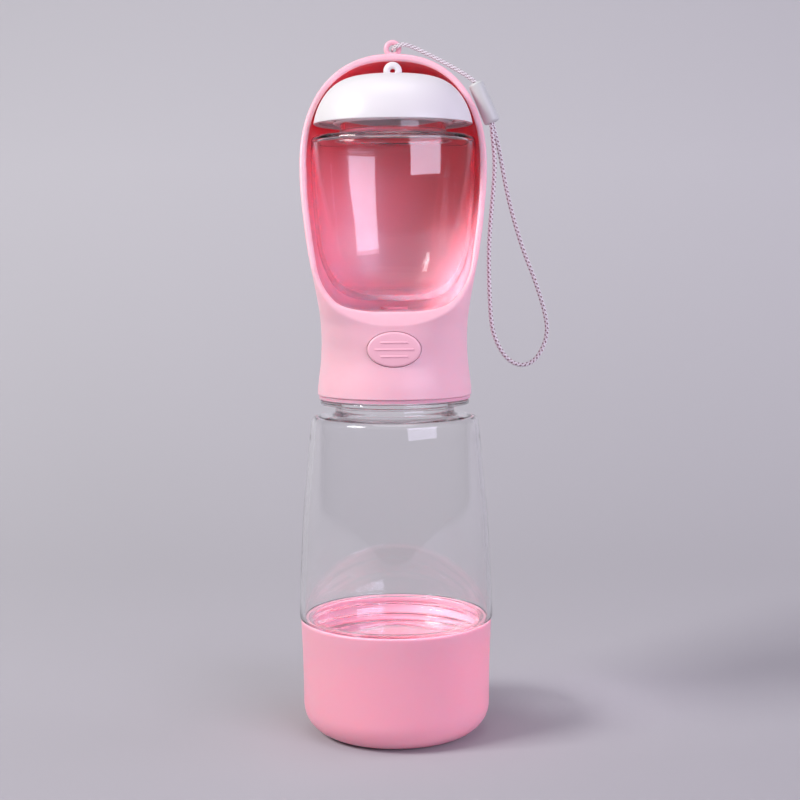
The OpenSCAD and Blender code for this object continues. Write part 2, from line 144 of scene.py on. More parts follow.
def smooth_route(route, steps):
    """Points of a smooth line through the points of a route."""
    points = [Vector(p) for p in route]
    line = []
    for k in range(len(points) - 1):
        a, b = points[max(k - 1, 0)], points[k]
        c, d = points[k + 1], points[min(k + 2, len(points) - 1)]
        for s in range(steps):
            u = s / steps
            line.append(
                0.5 * (2 * b + (c - a) * u + (2 * a - 5 * b + 4 * c - d) * u ** 2
                       + (3 * b - a - 3 * c + d) * u ** 3)
            )
    return line + [points[-1]]


def line_length(line):
    """Length of a line of points."""
    return sum((b - a).length for a, b in zip(line, line[1:]))


def spaced(line, spacing):
    """The same line with points at even spaces."""
    total = line_length(line)
    count = max(2, round(total / spacing))
    made, k, gone = [line[0]], 0, 0.0
    for i in range(1, count):
        wanted = total * i / count
        while gone + (line[k + 1] - line[k]).length < wanted:
            gone += (line[k + 1] - line[k]).length
            k += 1
        step = line[k + 1] - line[k]
        made.append(line[k] + step * ((wanted - gone) / step.length))
    return made + [line[-1]]


def side_frames(line):
    """A pair of side directions at each point of a line, which turn without twisting."""
    frames, side = [], Vector((0.3, 0.2, 0.9))
    for i in range(len(line)):
        ahead = (line[min(i + 1, len(line) - 1)] - line[max(i - 1, 0)]).normalized()
        side = (side - ahead * side.dot(ahead)).normalized()
        frames.append((side.copy(), ahead.cross(side)))
    return frames


def yarn_mesh(name, lines, radius, materials):
    """Mesh of round yarns along lines of points in mm, each with the number of its material."""
    curve = bpy.data.curves.new(name, "CURVE")
    curve.dimensions = "3D"
    curve.bevel_depth = radius * MM
    curve.bevel_resolution = 1
    curve.use_fill_caps = True
    for material in materials:
        curve.materials.append(material)
    for index, line in lines:
        spline = curve.splines.new("POLY")
        spline.points.add(len(line) - 1)
        spline.material_index = index
        for point, place in zip(spline.points, line):
            point.co = (*(place * MM), 1)
    holder = bpy.data.objects.new(name + "_curve", curve)
    bpy.context.scene.collection.objects.link(holder)
    mesh = bpy.data.meshes.new_from_object(
        holder.evaluated_get(bpy.context.evaluated_depsgraph_get()))
    bpy.data.objects.remove(holder)
    for polygon in mesh.polygons:
        polygon.use_smooth = True
    return mesh


def braided(line, diameter, lead, offset=0.0):
    """Yarns of a round braid, half of them each way round, that pass over and under."""
    line = spaced(line, lead / POINTS_A_TURN)
    frames = side_frames(line)
    yarns = []
    for k in range(YARNS):
        way = 1 if k % 2 else -1
        yarn = []
        for i, (place, (u, v)) in enumerate(zip(line, frames)):
            turn = 2 * math.pi * i / POINTS_A_TURN
            angle = offset + way * turn + k // 2 * math.pi / 2
            radius = diameter * (0.24 + 0.08 * way * math.cos(4 * turn))
            yarn.append(place + (u * math.cos(angle) + v * math.sin(angle)) * radius)
        yarns.append((int(k in MAUVE_YARNS), yarn))
    return yarns


def nylon_yarn(name, light, dark):
    """Braided filament nylon: soft and a little shiny, with a fine darker mottle."""
    made = new_material(name)
    place = add_node(made, "ShaderNodeTexCoord").outputs["Object"]
    grain = add_node(made, "ShaderNodeTexNoise",
                     {"Vector": place, "Scale": 1 / (0.4 * MM), "Detail": 3.0})
    tone = add_node(made, "ShaderNodeMix", {
        "Factor": grain.outputs["Fac"], 6: linear_colour(light), 7: linear_colour(dark)},
        data_type="RGBA")
    bump = add_node(made, "ShaderNodeBump", {"Height": grain.outputs["Fac"], "Strength": 0.4,
                                             "Distance": 0.05 * MM})
    shader = add_node(made, "ShaderNodeBsdfPrincipled", {
        "Base Color": tone.outputs[2], "Roughness": 0.55, "Sheen Weight": 0.2,
        "Normal": bump.outputs["Normal"]})
    return finish_material(made, shader)


white_nylon = nylon_yarn("woven_nylon_white", "#FBF7F8", "#E6DEE2")
mauve_nylon = nylon_yarn("woven_nylon_mauve", "#8A5062", "#5E3040")

loop = new_object(
    "strap_loop_cord",
    yarn_mesh("strap_loop_cord",
              braided(smooth_route(LOOP_ROUTE, BRAID_STEPS), LOOP_D, LOOP_LEAD),
              LOOP_YARN_R, [white_nylon, mauve_nylon]),
    [], "head", ["strap_loop"])


# The tie is two thinner cords of the same yarns side by side, so it is wider than the
# loop's own cord. It runs from behind the head's ring, through it, to the sleeve.
def shifted(line, shift):
    """The same line moved to its own side."""
    return [p + u * shift for p, (u, _) in zip(line, side_frames(line))]


TIE_SHIFT = (TIE_D - TIE_CORD_D) / 2
fine_tie = smooth_route(TIE_ROUTE, BRAID_STEPS)
tie = new_object(
    "strap_tie_cord",
    yarn_mesh("strap_tie_cord",
              braided(shifted(fine_tie, -TIE_SHIFT), TIE_CORD_D, TIE_LEAD)
              + braided(shifted(fine_tie, TIE_SHIFT), TIE_CORD_D, TIE_LEAD, offset=0.5),
              TIE_YARN_R, [white_nylon, mauve_nylon]),
    [], "head", ["strap_tie"])

# Sleeve: a short tube moulded in pale grey ABS, slid over the cords to gather the loop.
# It widens a little towards the loop, and its edges are rounded.
SLEEVE_TOP = Vector((32.4, 6, 253.2))
SLEEVE_BOTTOM = Vector((38.4, 6, 239.4))
SLEEVE_TOP_RADII = (1.85, 2.15)
SLEEVE_BOTTOM_RADII = (1.95, 2.4)


def smooth_skin(bm):
    """Turns the faces of a mesh outwards and shades them smooth."""
    bmesh.ops.recalc_face_normals(bm, faces=bm.faces[:])
    for face in bm.faces:
        face.smooth = True
    return bm


def lathe(profile, segments, axis=(0, 0, 1), centre=(0, 0, 0), closed=True):
    """Turned form: a profile of (radius, height) points in mm spun about +Z, or another axis."""
    bm = bmesh.new()
    verts = [bm.verts.new((r * MM, 0, z * MM)) for r, z in profile]
    pairs = zip(verts, verts[1:] + (verts[:1] if closed else []))
    edges = [bm.edges.new(p) for p in pairs]
    bmesh.ops.spin(bm, geom=verts + edges, cent=(0, 0, 0), axis=(0, 0, 1),
                   angle=2 * math.pi, steps=segments, use_merge=True)
    bmesh.ops.remove_doubles(bm, verts=bm.verts[:], dist=1e-7)
    turn = Vector((0, 0, 1)).rotation_difference(Vector(axis)).to_matrix().to_4x4()
    bmesh.ops.transform(bm, matrix=Matrix.Translation(Vector(centre) * MM) @ turn,
                        verts=bm.verts[:])
    return smooth_skin(bm)


def rounded(profile, radii, steps=4):
    """Profile whose corners are rounded by the radius given for each point."""
    made, count = [], len(profile)
    for i in range(count):
        here = Vector(profile[i])
        before = (Vector(profile[i - 1]) - here).normalized()
        after = (Vector(profile[(i + 1) % count]) - here).normalized()
        radius = radii.get(i, 0)
        if not radius:
            made.append(tuple(here))
            continue
        half = before.angle(after) / 2
        reach = radius / math.tan(half)
        middle = here + (before + after).normalized() * (radius / math.sin(half))
        start, end = here + before * reach - middle, here + after * reach - middle
        for k in range(steps + 1):
            made.append(tuple(middle + start.slerp(end, k / steps)))
    return made


def moulded(name, colour, tint, roughness, grain_mm, relief_mm, shine=0.5, depth=None,
            scatter=0.0):
    """Moulded plastic: an even colour with a faint flow mottle and the mould's fine grain."""
    made = new_material(name)
    place = add_node(made, "ShaderNodeTexCoord").outputs["Object"]
    flow = add_node(made, "ShaderNodeTexNoise",
                    {"Vector": place, "Scale": 1 / (18 * MM), "Detail": 2.0})
    grain = add_node(made, "ShaderNodeTexNoise",
                     {"Vector": place, "Scale": 1 / (grain_mm * MM), "Detail": 2.0})
    tone = add_node(made, "ShaderNodeMix", {
        "Factor": flow.outputs["Fac"], 6: linear_colour(colour), 7: linear_colour(tint)},
        data_type="RGBA")
    gloss = add_node(made, "ShaderNodeMapRange", {
        "Value": flow.outputs["Fac"], "To Min": roughness * 0.9, "To Max": roughness * 1.1})
    bump = add_node(made, "ShaderNodeBump", {"Height": grain.outputs["Fac"], "Strength": 0.5,
                                             "Distance": relief_mm * MM})
    shader = add_node(made, "ShaderNodeBsdfPrincipled", {
        "Base Color": tone.outputs[2], "Roughness": gloss.outputs["Result"],
        "Specular IOR Level": shine, "Normal": bump.outputs["Normal"]})
    if depth:
        shader.inputs["Subsurface Weight"].default_value = scatter
        shader.inputs["Subsurface Radius"].default_value = depth
        shader.inputs["Subsurface Scale"].default_value = MM
    return finish_material(made, shader)


sleeve_plastic = moulded("moulded_abs_grey_lilac", "#CACCCA", "#C4C6C4",
                         roughness=0.42, grain_mm=0.5, relief_mm=0.02)
sleeve_axis = SLEEVE_BOTTOM - SLEEVE_TOP
sleeve_length = sleeve_axis.length
sleeve_profile = rounded(
    [(SLEEVE_TOP_RADII[0], 0), (SLEEVE_TOP_RADII[1], 0),
     (SLEEVE_BOTTOM_RADII[1], sleeve_length), (SLEEVE_BOTTOM_RADII[0], sleeve_length)],
    {0: 0.12, 1: 0.16, 2: 0.2, 3: 0.12})
sleeve = new_object(
    "strap_sleeve_tube", lathe(sleeve_profile, 48, sleeve_axis, SLEEVE_TOP),
    [sleeve_plastic], "head", ["strap_sleeve"])


# Snack cup: injection moulded in satin pink polypropylene with a large round corner at
# the foot, a seal seat at the rim and a two-turn thread inside its upper half.
def arc(centre, radius, start, end, steps):
    """Points of a profile along an arc, from one angle in degrees to another."""
    return [(centre[0] + radius * math.cos(math.radians(start + (end - start) * i / steps)),
             centre[1] + radius * math.sin(math.radians(start + (end - start) * i / steps)))
            for i in range(steps + 1)]


def thread(radius, crest, low, high, pitch, width):
    """Thread ridge on a wall of the given radius, a closed form whose ends run out."""
    sunk, shoulder, run_out = 0.25, 0.12, 0.09
    part = bmesh.new()
    turns = (high - low) / pitch
    steps = round(turns * 72)
    outward = 1 if crest > radius else -1
    root = radius - outward * sunk
    section = [(root, -width / 2), (crest - outward * shoulder, -width * 0.22),
               (crest, 0), (crest - outward * shoulder, width * 0.22), (root, width / 2)]
    first = [part.verts.new((r * MM, 0, (low + z) * MM)) for r, z in section]
    start = part.faces.new(first)
    bmesh.ops.spin(part, geom=[start], cent=(0, 0, 0), axis=(0, 0, 1),
                   dvec=(0, 0, (high - low) * MM / steps),
                   angle=2 * math.pi * turns, steps=steps, use_merge=False)
    bmesh.ops.remove_doubles(part, verts=part.verts[:], dist=1e-8)
    for v in part.verts:
        x, y, z = v.co
        r = math.hypot(x, y)
        share = (z / MM - low) / (high - low)
        left = min(max(min(share, 1 - share) / run_out, 0), 1)
        wanted = root + (r / MM - root) * (0.08 + 0.92 * left ** 0.7)
        v.co.x *= wanted * MM / r
        v.co.y *= wanted * MM / r
    return smooth_skin(part)


SATIN = {"roughness": 0.42, "grain_mm": 0.35, "relief_mm": 0.006, "shine": 0.65}
pink_plastic = moulded("moulded_polypropylene_pink", "#F7ABBC", "#F8AEBF", **SATIN,
                       depth=(2.5, 0.6, 0.8), scatter=0.7)

CUP_R = 37.5
CUP_LOW_R = 36.75
CUP_H = 45.05
CUP_CORNER_R = 11.5
CUP_WALL = 2.2
CUP_FLOOR = 3
CUP_RIM_R = 0.5
CUP_THREAD_R = 35.8
SEAL_SEAT_R = 36.6
SEAL_SEAT_Z = 43.1
inner_corner = CUP_CORNER_R - CUP_WALL
cup_profile = (
    # Hollow under the foot, the large corner, the tapered side and the rim.
    [(0, 0.8), (20.6, 0.8), (21.4, 0.6), (22.1, 0.15), (22.9, 0)]
    + arc((CUP_LOW_R - CUP_CORNER_R, CUP_CORNER_R), CUP_CORNER_R, -88, 0, 22)
    + [(36.83, 20), (36.95, 28), (37.1, 34), (37.38, 40), (CUP_R, 43.4)]
    + arc((CUP_R - CUP_RIM_R, CUP_H - CUP_RIM_R), CUP_RIM_R, 0, 90, 5)
    # The seal's seat, the wall that carries the thread, and the inside down to the floor.
    + [(36.75, CUP_H), (SEAL_SEAT_R, CUP_H - 0.15), (SEAL_SEAT_R, SEAL_SEAT_Z),
       (CUP_THREAD_R, SEAL_SEAT_Z), (CUP_THREAD_R, 31.5), (34.75, 30.0)]
    + arc((CUP_LOW_R - CUP_WALL - inner_corner, CUP_FLOOR + inner_corner), inner_corner,
          0, -90, 16)
    + [(0, CUP_FLOOR)]
)


def apply_modifiers(target):
    """Makes what the modifiers give the piece's own mesh."""
    final = bpy.data.meshes.new_from_object(
        target.evaluated_get(bpy.context.evaluated_depsgraph_get()))
    old = target.data
    target.modifiers.clear()
    target.data = final
    bpy.data.meshes.remove(old)


def combine(target, operation, shell):
    """Joins a closed form into a piece, or cuts it out of it."""
    mesh = bpy.data.meshes.new("form")
    shell.to_mesh(mesh)
    shell.free()
    form = bpy.data.objects.new("form", mesh)
    bpy.context.scene.collection.objects.link(form)
    step = target.modifiers.new("combine", "BOOLEAN")
    step.operation = operation
    step.solver = "EXACT"
    step.object = form
    apply_modifiers(target)
    bpy.data.objects.remove(form)


snack_cup = new_object("snack_cup_wall", lathe(cup_profile, 144, closed=False), [pink_plastic],
                       "snack_cup", ["base_cup"])
FOOT_PITCH = 4.2
combine(snack_cup, "UNION", thread(CUP_THREAD_R, crest=35.25, low=33.0, high=41.6,
                                   pitch=FOOT_PITCH, width=1.9))


# Bottle: blown and moulded in clear copolyester. The skirt with its thread screws into
# the snack cup, its floor is domed, and the neck carries a flange and a second thread.
def clear_copolyester():
    """Blown copolyester: clear, with slow waves that bend what shows behind it."""
    made = new_material("clear_copolyester")
    place = add_node(made, "ShaderNodeTexCoord").outputs["Object"]
    ripple = add_node(made, "ShaderNodeTexNoise",
                      {"Vector": place, "Scale": 1 / (22 * MM), "Detail": 1.0})
    bump = add_node(made, "ShaderNodeBump", {"Height": ripple.outputs["Fac"], "Strength": 0.25,
                                             "Distance": 0.12 * MM})
    shader = add_node(made, "ShaderNodeBsdfPrincipled", {
        "Base Color": linear_colour("#FFFFFF"), "Roughness": 0.0, "IOR": 1.5,
        "Transmission Weight": 1.0, "Normal": bump.outputs["Normal"]})
    # Lamps shine through it, so the pieces behind it are lit as they are in a real one.
    passed = add_node(made, "ShaderNodeBsdfTransparent", {"Color": linear_colour("#F6F5F7")})
    rays = add_node(made, "ShaderNodeLightPath")
    mixed = add_node(made, "ShaderNodeMixShader", {
        "Fac": rays.outputs["Is Shadow Ray"], 1: shader.outputs["BSDF"],
        2: passed.outputs["BSDF"]})
    return finish_material(made, mixed, "Shader")


clear_plastic = clear_copolyester()

BOTTLE_SIDE = [
    (45.2, 38.2), (52, 38.0), (60, 37.7), (68, 37.3), (76, 36.85), (84, 36.4), (92, 35.8),
    (103, 34.75), (111, 34.0), (118, 33.3), (123, 32.8),
]
BOTTLE_WALL = 1.8


def along(z, table):
    """Value at height z of a table of (height, value) stations, joined by smooth curves."""
    i = 0
    while i < len(table) - 2 and z > table[i + 1][0]:
        i += 1

    def slope(k):
        a, b = table[max(k - 1, 0)], table[min(k + 1, len(table) - 1)]
        return (b[1] - a[1]) / (b[0] - a[0])

    (z0, v0), (z1, v1) = table[i], table[i + 1]
    h = z1 - z0
    u = min(max((z - z0) / h, 0), 1)
    return (v0 * (2 * u ** 3 - 3 * u ** 2 + 1) + v1 * (3 * u ** 2 - 2 * u ** 3)
            + slope(i) * h * (u ** 3 - 2 * u ** 2 + u) + slope(i + 1) * h * (u ** 3 - u ** 2))


SKIRT_R = 34.6
NECK_R = 24.2
NECK_THREAD_PITCH = 3.4
outer_side = [(along(z, BOTTLE_SIDE), z) for z in range(48, 123, 3)]
inner_side = [(r - BOTTLE_WALL, z) for r, z in reversed(outer_side[:-1])]
bottle_profile = (
    # Outside: the domed floor from below, the skirt, the overhanging foot and the side.
    [(0, 38.9), (4, 38.85), (8, 38.6), (12, 38.0), (16, 37.2), (20, 36.2), (23, 35.2),
     (25.5, 34.3), (27, 34.05), (28, 34)]
    + arc((33.4, 35.2), 1.2, -90, 0, 5) + [(SKIRT_R, 44.95)]
    + arc((34.85, 45.0), 0.25, 180, 90, 3)
    + arc((36.9, 46.5), 1.25, -90, 0, 8)
    + outer_side
    # The shoulder, the flange under the head, and the neck up to the mouth.
    + arc((30.8, 123), 2.0, 0, 82, 9)
    + [(29.2, 125.35), (27.3, 125.75)] + arc((24.9, 127.4), 1.6, 260, 180, 8)
    + [(23.3, 129.7), (23.5, 130.0), (28.5, 130.0)]
    + arc((28.6, 130.4), 0.4, -90, 0, 3) + arc((28.6, 131.2), 0.4, 0, 90, 3)
    + [(24.5, 131.6), (NECK_R, 131.9), (NECK_R, 141.5)] + arc((23.8, 141.6), 0.4, 0, 90, 3)
    # Inside: down the neck, under the shoulder, down the wall and over the domed floor.
    + arc((21.4, 141.6), 0.4, 90, 180, 3)
    + arc((24.6, 128.3), 3.6, 180, 262, 8) + [(27.0, 124.5), (28.6, 124.2)]
    + arc((29.6, 122.6), 1.6, 85, 8, 6)
    + inner_side
    + arc((35.8, 46.6), 0.5, 0, -90, 4)
    + arc((33.4, 45.5), 0.6, 90, 180, 4) + [(32.8, 38.4), (31.9, 37.0), (30.2, 36.2)]
    + [(28, 35.9), (24, 37), (20, 38.0), (16, 39), (12, 39.8), (8, 40.4), (4, 40.62),
       (0, 40.7)]
)
bottle = new_object("bottle_wall", lathe(bottle_profile, 160, closed=False), [clear_plastic],
                    "clear_bottle", ["bottle"])
combine(bottle, "UNION", thread(SKIRT_R, crest=35.15, low=36.4, high=43.0, pitch=FOOT_PITCH,
                                width=1.8))
combine(bottle, "UNION", thread(NECK_R, crest=24.7, low=133.4, high=140.2,
                                pitch=NECK_THREAD_PITCH, width=1.5))
# Light is followed far enough to leave the thick clear edges that it runs along inside.
bpy.context.scene.cycles.max_bounces = 24
bpy.context.scene.cycles.glossy_bounces = 20
bpy.context.scene.cycles.transmission_bounces = 20


# Head: one moulding in pink polypropylene, a round waist that opens into a drinking
# scoop. The scoop's rim lies in one leaning plane, and both of its edges are rounded.
HEAD_HALF = [
    (133.5, 30), (138, 29.75), (143, 29.1), (148, 28.55), (153, 28.3), (158, 28.25),
    (162, 28.4), (167, 28.8), (172, 29.5), (178, 30.5), (184, 31.5), (191, 32.6),
    (198, 33.65), (206, 34.6), (214, 35.4), (222, 35.75),
]
HEAD_BACK = [(133.5, 30), (143, 29.2), (153, 28.5), (162, 28.8), (172, 30), (184, 31.6),
             (198, 32.8), (222, 33)]
HEAD_FRONT_POWER = [(133.5, 2), (146, 2), (152, 2.2), (157, 2.6), (162, 3), (167, 4),
                    (172, 4.6), (178, 5.4), (184, 6.6), (191, 8), (300, 8)]
HEAD_CENTRE_Y = [(133.5, 0), (198, 0), (222, 1), (240, 3.5), (255, 7), (270, 9.5)]
TROUGH_HALF = [
    (166.4, 8), (166.8, 12), (167.8, 17), (169.4, 20.8), (172, 23.6), (176, 26.4),
    (181, 28.4), (190, 30), (200, 31.5), (210, 32.6), (222, 33.15),
]
TROUGH_BACK = [(166.4, 14), (166.8, 17), (167.8, 20), (169.4, 22.3), (172, 24.4),
               (176, 26.4), (181, 28), (190, 29.6), (200, 30.4), (222, 30.6)]
ARCH_Z = 222
ARCH_POWER = 2.25
TROUGH_ARCH_POWER = 2.35
HEAD_Z = 133.5
TOP_Z = 265.4
TROUGH_Z = 166.4
TROUGH_TOP_Z = 262.4
BACK_POWER = 2.2
LEAST_FRONT = 20
OPEN_FRONT = (60, 12)
RIM_POINT = Vector((0, -28.3, 161.7))
RIM_LEAN = 0.33
RIM_NORMAL = Vector((0, -1, RIM_LEAN)).normalized()
RIM_EDGE_R = 1.0
RIM_MIDDLE_Z = 214
SCOOP_MIDDLE_Z = 212


def arch(z, z0, z1, power):
    """Share of the full width that is left at height z under a dome from z0 to z1."""
    if z <= z0:
        return 1.0
    return max(1 - min((z - z0) / (z1 - z0), 1) ** power, 0) ** (1 / power)


def head_gap(p):
    """Below 0 inside the head's outer form, and above 0 outside."""
    if p.z >= TOP_Z:
        return 1
    low = min(p.z, ARCH_Z)
    share = arch(p.z, ARCH_Z, TOP_Z, ARCH_POWER)
    half = along(low, HEAD_HALF) * share
    dy = p.y - along(p.z, HEAD_CENTRE_Y)
    if dy < 0:
        deep, power = max(half, LEAST_FRONT), along(p.z, HEAD_FRONT_POWER)
    else:
        deep, power = along(low, HEAD_BACK) * share, BACK_POWER
    return (abs(p.x) / half) ** power + (abs(dy) / deep) ** power - 1


def trough_gap(p):
    """The same for the space inside the scoop."""
    if p.z >= TROUGH_TOP_Z or p.z <= TROUGH_Z:
        return 1
    low = min(p.z, ARCH_Z)
    share = arch(p.z, ARCH_Z, TROUGH_TOP_Z, TROUGH_ARCH_POWER)
    half = along(low, TROUGH_HALF) * share
    dy = p.y - along(p.z, HEAD_CENTRE_Y)
    deep, power = OPEN_FRONT if dy < 0 else (along(low, TROUGH_BACK) * share, BACK_POWER)
    return (abs(p.x) / half) ** power + (abs(dy) / deep) ** power - 1


def reach(gap, start, direction, far=160.0):
    """Distance from a point inside a form to its skin."""
    low, high = 0.0, far
    for _ in range(30):
        middle = (low + high) / 2
        if gap(start + direction * middle) < 0:
            low = middle
        else:
            high = middle
    return low


RING_POINTS = 128
ANGLES = [2 * math.pi * i / RING_POINTS for i in range(RING_POINTS)]
ACROSS = Vector((1, 0, 0))


def ring_in_plane(gap, centre, up):
    """Ring where a form's skin meets the plane of X and up. It starts at the lower end."""
    made = []
    for a in ANGLES:
        way = ACROSS * math.sin(a) - up * math.cos(a)
        made.append(centre + way * reach(gap, centre, way))
    return made


def grow(bm, ring_edges, ring_verts, ring, finish):
    """Extrudes the last ring of a skin and puts the new ring at its points."""
    made = set(bmesh.ops.extrude_edge_only(bm, edges=ring_edges)["geom"])
    for item in made:
        if isinstance(item, bmesh.types.BMFace):
            item.material_index = finish
    fresh = []
    for v, place in zip(ring_verts, ring):
        top = next(e.other_vert(v) for e in v.link_edges if e.other_vert(v) in made)
        top.co = place * MM
        fresh.append(top)
    count = len(fresh)
    edges = [bm.edges.get((fresh[i], fresh[(i + 1) % count])) for i in range(count)]
    return edges, fresh


def skin(rings, inside_from=None):
    """Closed skin over rings of points in mm. From one ring on it can have a second finish."""
    bm = bmesh.new()
    count = len(rings[0])
    verts = bmesh.ops.create_circle(bm, cap_ends=False, radius=1, segments=count)["verts"]
    for v, place in zip(verts, rings[0]):
        v.co = place * MM
    edges = [bm.edges.get((verts[i], verts[(i + 1) % count])) for i in range(count)]
    first = list(edges)
    for k, ring in enumerate(rings[1:]):
        finish = int(inside_from is not None and k >= inside_from)
        edges, verts = grow(bm, edges, verts, ring, finish)
    for loop in (first, edges):
        bmesh.ops.contextual_create(bm, geom=loop)
    return smooth_skin(bm)


def circle_ring(radius, z, centre_y=0.0):
    """Level ring of points that starts at the front."""
    return [Vector((radius * math.sin(a), centre_y - radius * math.cos(a), z)) for a in ANGLES]


def rim_sides(ring):
    """Directions out of the scoop, in the rim's plane, at the points of a ring."""
    count = len(ring)
    sides = [(ring[(i + 1) % count] - ring[i - 1]).cross(RIM_NORMAL).normalized()
             for i in range(count)]
    return [-s for s in sides] if sides[0].z > 0 else sides


def rounded_end(fans):
    """The rings with the sharp edge of the last one rounded over onto the rim's plane.

    The edge's radius grows where the skin meets the plane at a flat angle, at the lip.
    """
    edge = fans[-1]
    sides = rim_sides(edge)
    tail, arcs = 8, [[] for _ in range(5)]
    for i, (corner, side) in enumerate(zip(edge, sides)):
        path = [ring[i] for ring in fans[-tail - 1:]]
        rise = (corner - path[-3]).normalized()
        half = rise.angle(-side) / 2
        radius = RIM_EDGE_R * (1 + 1.5 * (1 - half / (math.pi / 4)))
        short = radius * math.tan(half)
        # The last rings move back along the skin to make room for the rounding.
        gone = [0.0]
        for a, b in zip(path, path[1:]):
            gone.append(gone[-1] + (b - a).length)
        for k in range(1, tail + 1):
            wanted = gone[k] * (gone[-1] - short) / gone[-1]
            j = 0
            while gone[j + 1] < wanted:
                j += 1
            share = (wanted - gone[j]) / (gone[j + 1] - gone[j])
            fans[k - tail - 1][i] = path[j].lerp(path[j + 1], share)
        start, end, weight = fans[-1][i], corner - side * short, math.cos(half)
        for step, ring in enumerate(arcs, 1):
            s = step / len(arcs)
            parts = ((1 - s) ** 2, 2 * s * (1 - s) * weight, s ** 2)
            ring.append((start * parts[0] + corner * parts[1] + end * parts[2]) / sum(parts))
    return fans + arcs


HEAD_R = 30
LOW_EDGE_R = 0.6
FAN_STEPS = 56
FAN_START = math.radians(8)
INNER_STEPS = 44


def head_rings():
    """Rings of the head's skin, and the number of the first one with the inside's finish."""
    # Up inside the waist, over the edge that stands on the collar, and round that edge.
    rings = [circle_ring(r, z) for r, z in (
        (0.5, 163.6), (21.6, 163.6), (22, 163.2), (22, 158.3), (22.3, 158), (26.3, 158),
        (26.6, 157.7), (26.6, 134.1), (26.9, HEAD_Z), (HEAD_R - LOW_EDGE_R, HEAD_Z))]
    rings += [circle_ring(HEAD_R - LOW_EDGE_R * (1 - math.sin(b)),
                          HEAD_Z + LOW_EDGE_R * (1 - math.cos(b)))
              for b in (math.radians(k) for k in (30, 60, 90))]
    # Planes that fan up about a line in front of the waist, from the lower edge to the rim.
    hinge = Vector((0, RIM_POINT.y + RIM_LEAN * (HEAD_Z - RIM_POINT.z), HEAD_Z))
    last = math.atan2(1, RIM_LEAN)
    fans = []
    for step in range(FAN_STEPS + 1):
        u = step / FAN_STEPS
        angle = FAN_START + (last - FAN_START) * (1 - (1 - u) ** 1.6)
        up = Vector((0, math.cos(angle), math.sin(angle)))
        inside = hinge + up * (-hinge.y / math.cos(angle))
        front = reach(head_gap, inside, -up, inside.y - hinge.y + 60)
        back = reach(head_gap, inside, up)
        fans.append(ring_in_plane(head_gap, inside + up * ((back - front) / 2), up))
    # The waist between its lower edge and the first of those planes.
    low = rings[-1]
    for share in (0.2, 0.45, 0.7):
        made = []
        for a, b in zip(low, fans[0]):
            middle = a.lerp(b, share)
            start = Vector((0, 0, middle.z))
            way = (middle - start).normalized()
            made.append(start + way * reach(head_gap, start, way))
        rings.append(made)
    rings += rounded_end(fans)
    # The rim's inner edge, rounded too, and then rays that turn to the scoop's back wall.
    up = Vector((0, RIM_LEAN, 1)).normalized()
    level = RIM_POINT - RIM_NORMAL * RIM_EDGE_R
    centre = level + up * ((RIM_MIDDLE_Z - level.z) / up.z)
    inner = ring_in_plane(trough_gap, centre, up)
    sides = rim_sides(inner)
    for turn in (90, 68, 45, 22):
        b = math.radians(turn)
        rings.append([
            p + (m * (1 - math.cos(b)) + RIM_NORMAL * math.sin(b)) * RIM_EDGE_R
            for p, m in zip(inner, sides)])
    rings.append(inner)
    inside_from = len(rings) - 1
    middle = Vector((0, 0, SCOOP_MIDDLE_Z))
    back = Vector((0, 1, 0))
    starts = [(p - middle).normalized() for p in inner]
    for step in range(1, INNER_STEPS):
        ways = [way.slerp(back, step / INNER_STEPS) for way in starts]
        rings.append([middle + way * reach(trough_gap, middle, way) for way in ways])
    return rings, inside_from


# The scoop's outside is satin and pale. Its inside is polished, and its pink is painted
# deeper towards the dome: painted shade and glow for light that has come through the wall
# and from side to side. The scattering in the wall adds some of that light for real.
pale_plastic = moulded("moulded_polypropylene_pale_pink", "#FCC0CC", "#FCC3CF", **SATIN,
                       depth=(1.6, 0.6, 0.7), scatter=0.6)


def polished_pink():
    """Polished polypropylene, its colour painted pink by the lip and deep red pink under the
    dome as painted shade and glow.
    """
    made = new_material("polished_polypropylene_pink")
    place = add_node(made, "ShaderNodeTexCoord").outputs["Object"]
    height = add_node(made, "ShaderNodeSeparateXYZ", {"Vector": place})
    # Painted shade and glow: the base colour turns from pink to deep red pink with height.
    share = add_node(made, "ShaderNodeMapRange", {
        "Value": height.outputs["Z"], "From Min": 170 * MM, "From Max": 225 * MM},
        interpolation_type="SMOOTHSTEP")
    tone = add_node(made, "ShaderNodeMix", {
        "Factor": share.outputs["Result"], 6: linear_colour("#F7A8B8"),
        7: linear_colour("#F87E8B")}, data_type="RGBA")
    ripple = add_node(made, "ShaderNodeTexNoise", {"Vector": place, "Scale": 1 / (6 * MM)})
    bump = add_node(made, "ShaderNodeBump", {"Height": ripple.outputs["Fac"], "Strength": 0.3,
                                             "Distance": 0.02 * MM})
    shader = add_node(made, "ShaderNodeBsdfPrincipled", {
        "Base Color": tone.outputs[2], "Roughness": 0.25, "Subsurface Weight": 1.0,
        "Subsurface Radius": (9, 0.8, 0.9), "Subsurface Scale": MM,
        "Normal": bump.outputs["Normal"]})
    return finish_material(made, shader)


polished_plastic = polished_pink()
head = new_object("head_moulding", skin(*head_rings()), [pale_plastic, polished_plastic],
                  "head", ["head_shell"])

# The button's hole in the waist and the water's way up into the scoop.
BUTTON_Z = 152.5
BUTTON_W = 20.0
BUTTON_H = 13.1
PLAY = 0.2
OUTLET_R = 4
OUTLET_Y = 8


def button_oval(y, width, height):
    """Upright oval round the button's axis."""
    return [Vector((width / 2 * math.sin(a), y, BUTTON_Z - height / 2 * math.cos(a)))
            for a in ANGLES]


combine(head, "DIFFERENCE", skin([
    button_oval(y, BUTTON_W + 2 * PLAY, BUTTON_H + 2 * PLAY) for y in (-40, -15)]))
combine(head, "DIFFERENCE", skin([
    circle_ring(OUTLET_R, z, OUTLET_Y) for z in (161, 169)]))
head.data.set_sharp_from_angle(angle=math.radians(40))

